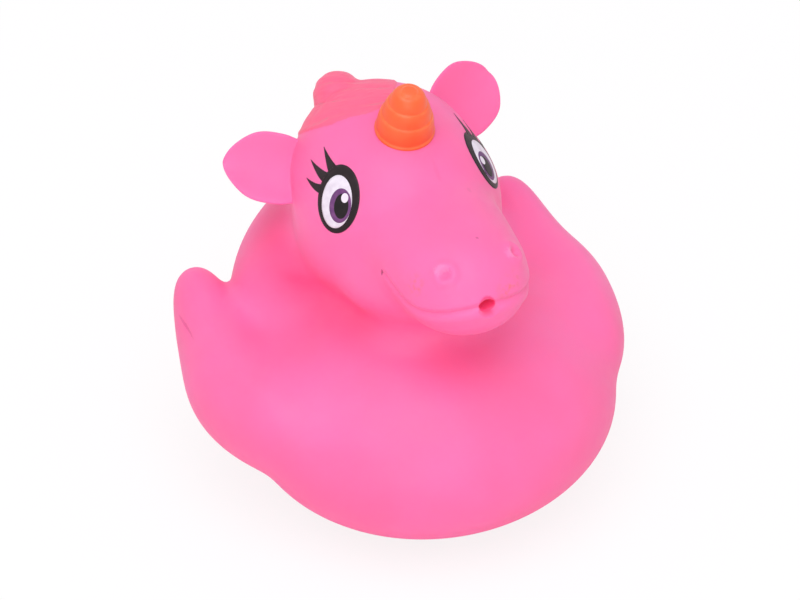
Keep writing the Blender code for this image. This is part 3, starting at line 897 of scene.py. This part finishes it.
eye = {
    "middle": (-13.77, -2.18, 61.12), "wide": 3.75, "high": 6.15, "slant": 0.35,
    # each disc: across and up from the middle, half width and half height, as shares
    "outline": (0.0, 0.0, 1.0, 1.0), "white": (-0.08, -0.08, 0.72, 0.77),
    "iris": (0.1, -0.2, 0.52, 0.5), "pupil": (0.15, -0.22, 0.34, 0.36),
    "glint": (0.3, 0.02, 0.17, 0.14),
    # each lash: where it leaves the outline in degrees, its way out in degrees, length, width
    "lashes": ((112, 122, 3.3, 1.9), (137, 146, 3.4, 2.0), (161, 168, 2.8, 1.8)), "bend": 1.5,
    # the eye on the toy's left is turned forward about an axis this far back, and raised
    "otherTurn": 4.0, "otherAxis": 3.0, "otherLift": 0.8,
    # the print starts this far in front, ends up this far off the skin and is this thick
    "standOff": 14, "lift": 0.03, "thickness": 0.02, "roughness": (0.36, 0.44),
}


def viewAxes():
    # Right, up and back as the camera sees them, back being (sin a cos e, -cos a cos e, sin e)
    a, e = math.radians(view["azimuth"]), math.radians(view["elevation"])
    back = np.array((math.sin(a) * math.cos(e), -math.cos(a) * math.cos(e), math.sin(e)))
    right = np.array((math.cos(a), math.sin(a), 0.0))
    return right, np.cross(back, right), back


def sheet(name, grids):
    # Open sheets of quads facing the camera, each a grid of places right and up of the eye
    right, up, back = viewAxes()
    points, faces, start = [], [], 0
    for grid in grids:
        rows, columns = grid.shape[:2]
        spread = grid[..., :1] * right + grid[..., 1:] * up
        points.append((stand + eye["middle"] + back * eye["standOff"] + spread).reshape(-1, 3))
        index = np.arange(rows * columns).reshape(rows, columns) + start
        quads = np.stack([index[:-1, :-1], index[1:, :-1], index[1:, 1:], index[:-1, 1:]], -1)
        faces += quads.reshape(-1, 4).tolist()
        start += rows * columns
    mesh = bpy.data.meshes.new(name)
    mesh.from_pydata((np.concatenate(points) * mm).tolist(), [], faces)
    bm = bmesh.new()
    bm.from_mesh(mesh)
    bmesh.ops.remove_doubles(bm, verts=bm.verts, dist=1e-6)
    bm.to_mesh(mesh)
    bm.free()
    return placeObject(name, mesh)


def discGrid(disc):
    # Ellipse filled by rings: share r from the middle to the rim times (cos t, sin t)
    across, up, wide, high = disc
    r = np.linspace(0.0, 1.0, 14)[:, None]
    t = np.linspace(0, 2 * math.pi, 65)[None, :]
    u, v = across + wide * r * np.cos(t), up + high * r * np.sin(t)
    return np.stack([u * eye["wide"] + v * eye["slant"], v * eye["high"]], -1)


def lashGrid(start, heading, length, width):
    # A stroke from the outline outward, its width falling as 1 - 0.97 s^1.1, bent up by s^2
    s = np.linspace(0, 1, 16)[:, None]
    across = np.linspace(-0.5, 0.5, 7)[None, :]
    a, b = math.radians(start), math.radians(heading)
    x, y = 0.9 * math.cos(a), 0.9 * math.sin(a)  # just inside the outline
    foot = np.array((x * eye["wide"] + y * eye["slant"], y * eye["high"]))
    way = np.array((math.cos(b), math.sin(b)))
    bend = np.array((0.0, eye["bend"]))
    spine = foot + s * length * way + s**2 * bend
    along = way * length + 2 * s * bend
    along /= np.linalg.norm(along, axis=1, keepdims=True)
    normal = np.stack([-along[:, 1], along[:, 0]], -1)
    half = width * (1 - 0.97 * s**1.1)
    return spine[:, None] + (across * half)[..., None] * normal[:, None]


def press(obj, skinPiece, lift):
    # Along the view onto the skin, then mirrored for the other eye and laid on the skin there
    wrap = obj.modifiers.new("press", "SHRINKWRAP")
    wrap.target, wrap.wrap_method, wrap.wrap_mode = skinPiece, "PROJECT", "ABOVE_SURFACE"
    wrap.use_negative_direction, wrap.use_positive_direction = True, True
    wrap.offset = lift * mm
    applyModifiers(obj)
    bm = bmesh.new()
    bm.from_mesh(obj.data)
    twin = bmesh.ops.duplicate(bm, geom=bm.verts[:] + bm.edges[:] + bm.faces[:])["geom"]
    corners = [part for part in twin if isinstance(part, bmesh.types.BMVert)]
    faces = [part for part in twin if isinstance(part, bmesh.types.BMFace)]
    flip = Matrix.Diagonal((-1, 1, 1, 1))
    turn = Matrix.Rotation(-math.radians(eye["otherTurn"]), 4, "Z")
    axis = Vector((stand[0], stand[1] + eye["otherAxis"], stand[2])) * mm
    raised = Matrix.Translation(Vector((0, 0, eye["otherLift"])) * mm)
    other = raised @ Matrix.Translation(axis) @ turn @ flip @ Matrix.Translation(-axis)
    bmesh.ops.transform(bm, matrix=other, verts=corners)
    bmesh.ops.reverse_faces(bm, faces=faces)
    bm.to_mesh(obj.data)
    bm.free()
    wrap = obj.modifiers.new("settle", "SHRINKWRAP")
    wrap.target, wrap.wrap_method, wrap.wrap_mode = skinPiece, "NEAREST_SURFACEPOINT", "ABOVE_SURFACE"
    wrap.offset = lift * mm
    thick = obj.modifiers.new("ink", "SOLIDIFY")
    thick.thickness, thick.offset = eye["thickness"] * mm, 0.0
    applyModifiers(obj)


def printInk(name, colour, second):
    # Pad-printing ink: a thin satin film, its tone a little uneven, with fine pinholes
    material, tree, shader = newMaterial(name)
    place = addNode(tree, "TexCoord", "Object")
    uneven = patchesAt(tree, place, 1.5, 4.0, (0.35, 0.75))
    tone = layCoats(tree, toLinear(colour), [(uneven, toLinear(second))])
    setNode(tree, shader, Base_Color=tone, IOR=1.5, Specular_IOR_Level=0.25,
            Roughness=patchesAt(tree, place, 0.6, 3.0, (0.3, 0.7), eye["roughness"]),
            Normal=layGrains(tree, place, ((0.2, 2.0, 0.004),)))
    return material


def addEyes():
    # Five layers of print, each a little further out than the one below it
    lashes = [lashGrid(*lash) for lash in eye["lashes"]]
    layers = (
        ("eyeOutline", [discGrid(eye["outline"])] + lashes, colours["outline"], "2a1d22"),
        ("eyeWhite", [discGrid(eye["white"])], colours["white"], "dcd3e0"),
        ("eyeIris", [discGrid(eye["iris"])], colours["violet"], "7d4c80"),
        ("eyePupil", [discGrid(eye["pupil"])], colours["pupil"], "20171c"),
        ("eyeGlint", [discGrid(eye["glint"])], colours["white"], "e6dfea"),
    )
    for level, (name, grids, colour, second) in enumerate(layers):
        piece = sheet(name, grids)
        press(piece, duck, eye["lift"] + eye["lift"] * level)
        piece.data.shade_smooth()
        piece.data.materials.append(printInk(name + " ink", colour, second))
        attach(piece, "root")
        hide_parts("duck")
    print("eyes", len(layers), "layers")


addEyes()


# Camera, lights and floor

def addCamera():
    # The lens is the sensor's width times the distance over the width seen there
    back = Vector(viewAxes()[2])
    data = bpy.data.cameras.new("camera")
    data.sensor_width = 36.0
    data.lens = data.sensor_width * view["distance"] / view["width"]
    data.clip_start, data.clip_end = 0.05, 20.0
    camera = placeObject("camera", data)
    camera.location = Vector(stand + view["middle"]) * mm + back * (view["distance"] * mm)
    camera.rotation_mode = "QUATERNION"
    camera.rotation_quaternion = back.to_track_quat("Z", "Y")
    bpy.context.scene.camera = camera


def addLamp(name, power, size, place, colour):
    # A round lamp at a place in metres, aimed at the middle of the toy
    target = Vector((0, 0, 30)) * mm
    data = bpy.data.lights.new(name, "AREA")
    data.shape, data.size, data.energy = "DISK", size, power
    data.color = toLinear(colour)[:3]
    lamp = placeObject(name, data)
    lamp.location = Vector(place)
    lamp.rotation_mode = "QUATERNION"
    lamp.rotation_quaternion = (Vector(place) - target).to_track_quat("Z", "Y")


lights = {
    "key": {"power": 6.6, "size": 1.1, "place": (-0.25, -0.32, 1.1), "colour": "f0f5ff"},
    "fill": {"power": 3.2, "size": 0.9, "place": (-0.6, -1.1, 0.34), "colour": "fff6f6"},
}

backdrop = {
    "level": 0.69, "lightColour": "fff8fa",
    # the sheet: how much of it answers to the light, half its side and how far it is below
    "floor": "f5e9e8", "floorShare": 0.16, "floorReach": 3.0, "floorDrop": 0.0002,
}


def paintWorld():
    # Plain white where the camera, a reflection or a refraction looks; an even level of
    # light, which shows colours as written, for everything else
    world = bpy.data.worlds.new("studio")
    bpy.context.scene.world = world
    world.use_nodes = True
    tree = world.node_tree
    tree.nodes.clear()
    rays = addNode(tree, "LightPath").node.outputs
    seen = rays["Is Camera Ray"]
    for ray in ("Is Glossy Ray", "Is Transmission Ray"):
        seen = addNode(tree, "Math", operation="MAXIMUM", n0=seen, n1=rays[ray])
    even = toLinear(backdrop["lightColour"])
    light = addNode(tree, "Background", Color=even, Strength=backdrop["level"])
    white = addNode(tree, "Background", Color=(1, 1, 1, 1), Strength=1.0)
    addNode(tree, "OutputWorld", Surface=addNode(tree, "MixShader", n0=seen, n1=light, n2=white))


def paintFloor(floor):
    # A pale matt sheet; towards the camera most of it is plain white, and the rest keeps
    # the object's soft shadow
    material = bpy.data.materials.new("pale studio sheet")
    material.use_nodes = True
    tree = material.node_tree
    tree.nodes.clear()
    share = backdrop["floorShare"]
    toCamera = addNode(tree, "LightPath", "Is Camera Ray")
    matt = addNode(tree, "BsdfDiffuse", Color=toLinear(backdrop["floor"]))
    thin = addNode(tree, "BsdfDiffuse", Color=(share, share, share, 1))
    glow = addNode(tree, "Emission", Color=(1, 1, 1, 1), Strength=1 - share)
    both = addNode(tree, "AddShader", n0=thin, n1=glow)
    addNode(tree, "OutputMaterial", Surface=addNode(tree, "MixShader", n0=toCamera, n1=matt, n2=both))
    floor.data.materials.append(material)


addCamera()
for name, lamp in lights.items():
    addLamp(name, lamp["power"], lamp["size"], lamp["place"], lamp["colour"])
paintWorld()

reach, drop = backdrop["floorReach"], backdrop["floorDrop"]
floorMesh = bpy.data.meshes.new("floor")
corners = [(-reach, -reach, -drop), (reach, -reach, -drop), (reach, reach, -drop), (-reach, reach, -drop)]
floorMesh.from_pydata(corners, [], [(0, 1, 2, 3)])
floor = placeObject("floor", floorMesh)
paintFloor(floor)

scene = bpy.context.scene
scene.view_settings.view_transform = "Standard"
